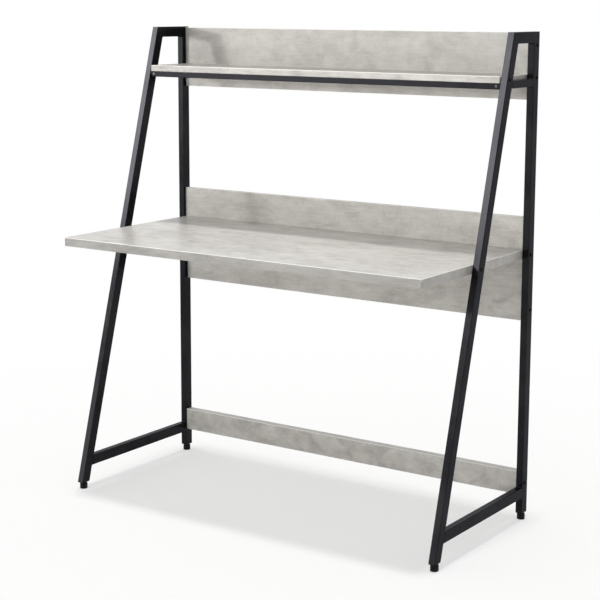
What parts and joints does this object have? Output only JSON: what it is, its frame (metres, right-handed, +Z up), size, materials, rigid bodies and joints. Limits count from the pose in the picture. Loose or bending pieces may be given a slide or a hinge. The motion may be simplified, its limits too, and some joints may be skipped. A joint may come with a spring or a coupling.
{
  "type": "ladder desk",
  "caption": "Desk on two leaning ladder side frames of rectangular tube, with a writing top, an upper shelf, back panels, a low stretcher and levelling feet.",
  "frame": {"origin": "on the floor under the middle of the desk's width and depth", "axes": "+X to the user's right as the user faces the desk, +Y away from the user towards the back panels, +Z up"},
  "size_m": [1.2056, 0.572, 1.338],
  "materials": {
    "frame_steel": "satin black powder coat",
    "board_laminate": "satin grey concrete-look laminate",
    "bolt_black": "satin black",
    "insert_zinc": "zinc plated",
    "screw_bright": "bright plated",
    "dowel_beech": "plain beech",
    "plug_plastic": "matte black",
    "foot_plastic": "matte black",
    "stud_steel": "zinc plated"
  },
  "bodies": {
    "desk": {"left_front_leg": "frame_steel", "left_rear_post": "frame_steel", "left_top_bar": "frame_steel", "left_shelf_bar": "frame_steel", "left_foot_bar": "frame_steel", "right_front_leg": "frame_steel", "right_rear_post": "frame_steel", "right_top_bar": "frame_steel", "right_shelf_bar": "frame_steel", "right_foot_bar": "frame_steel", "shelf_front_rail": "frame_steel", "rail_tabs": "frame_steel", "desktop": "board_laminate", "upper_shelf": "board_laminate", "upper_back_panel": "board_laminate", "backsplash": "board_laminate", "modesty_panel": "board_laminate", "lower_stretcher": "board_laminate", "board_bolts": "bolt_black", "panel_screws": "bolt_black", "board_inserts": "insert_zinc", "rail_screws": "screw_bright", "backsplash_dowels": "dowel_beech", "modesty_dowels": "dowel_beech", "shelf_dowels": "dowel_beech", "left_front_plug": "plug_plastic", "left_rear_plug": "plug_plastic", "right_front_plug": "plug_plastic", "right_rear_plug": "plug_plastic"},
    "left_front_foot": {"left_front_foot_pad": "foot_plastic", "left_front_foot_stud": "stud_steel"},
    "left_rear_foot": {"left_rear_foot_pad": "foot_plastic", "left_rear_foot_stud": "stud_steel"},
    "right_front_foot": {"right_front_foot_pad": "foot_plastic", "right_front_foot_stud": "stud_steel"},
    "right_rear_foot": {"right_rear_foot_pad": "foot_plastic", "right_rear_foot_stud": "stud_steel"}
  },
  "joints": [
    {"name": "left_front_foot_level", "type": "slide", "parent": "desk", "child": "left_front_foot", "axis": [0, 0, -1], "range_m": [-0.0015, 0.01]},
    {"name": "left_rear_foot_level", "type": "slide", "parent": "desk", "child": "left_rear_foot", "axis": [0, 0, -1], "range_m": [-0.0015, 0.01]},
    {"name": "right_front_foot_level", "type": "slide", "parent": "desk", "child": "right_front_foot", "axis": [0, 0, -1], "range_m": [-0.0015, 0.01]},
    {"name": "right_rear_foot_level", "type": "slide", "parent": "desk", "child": "right_rear_foot", "axis": [0, 0, -1], "range_m": [-0.0015, 0.01]}
  ]
}
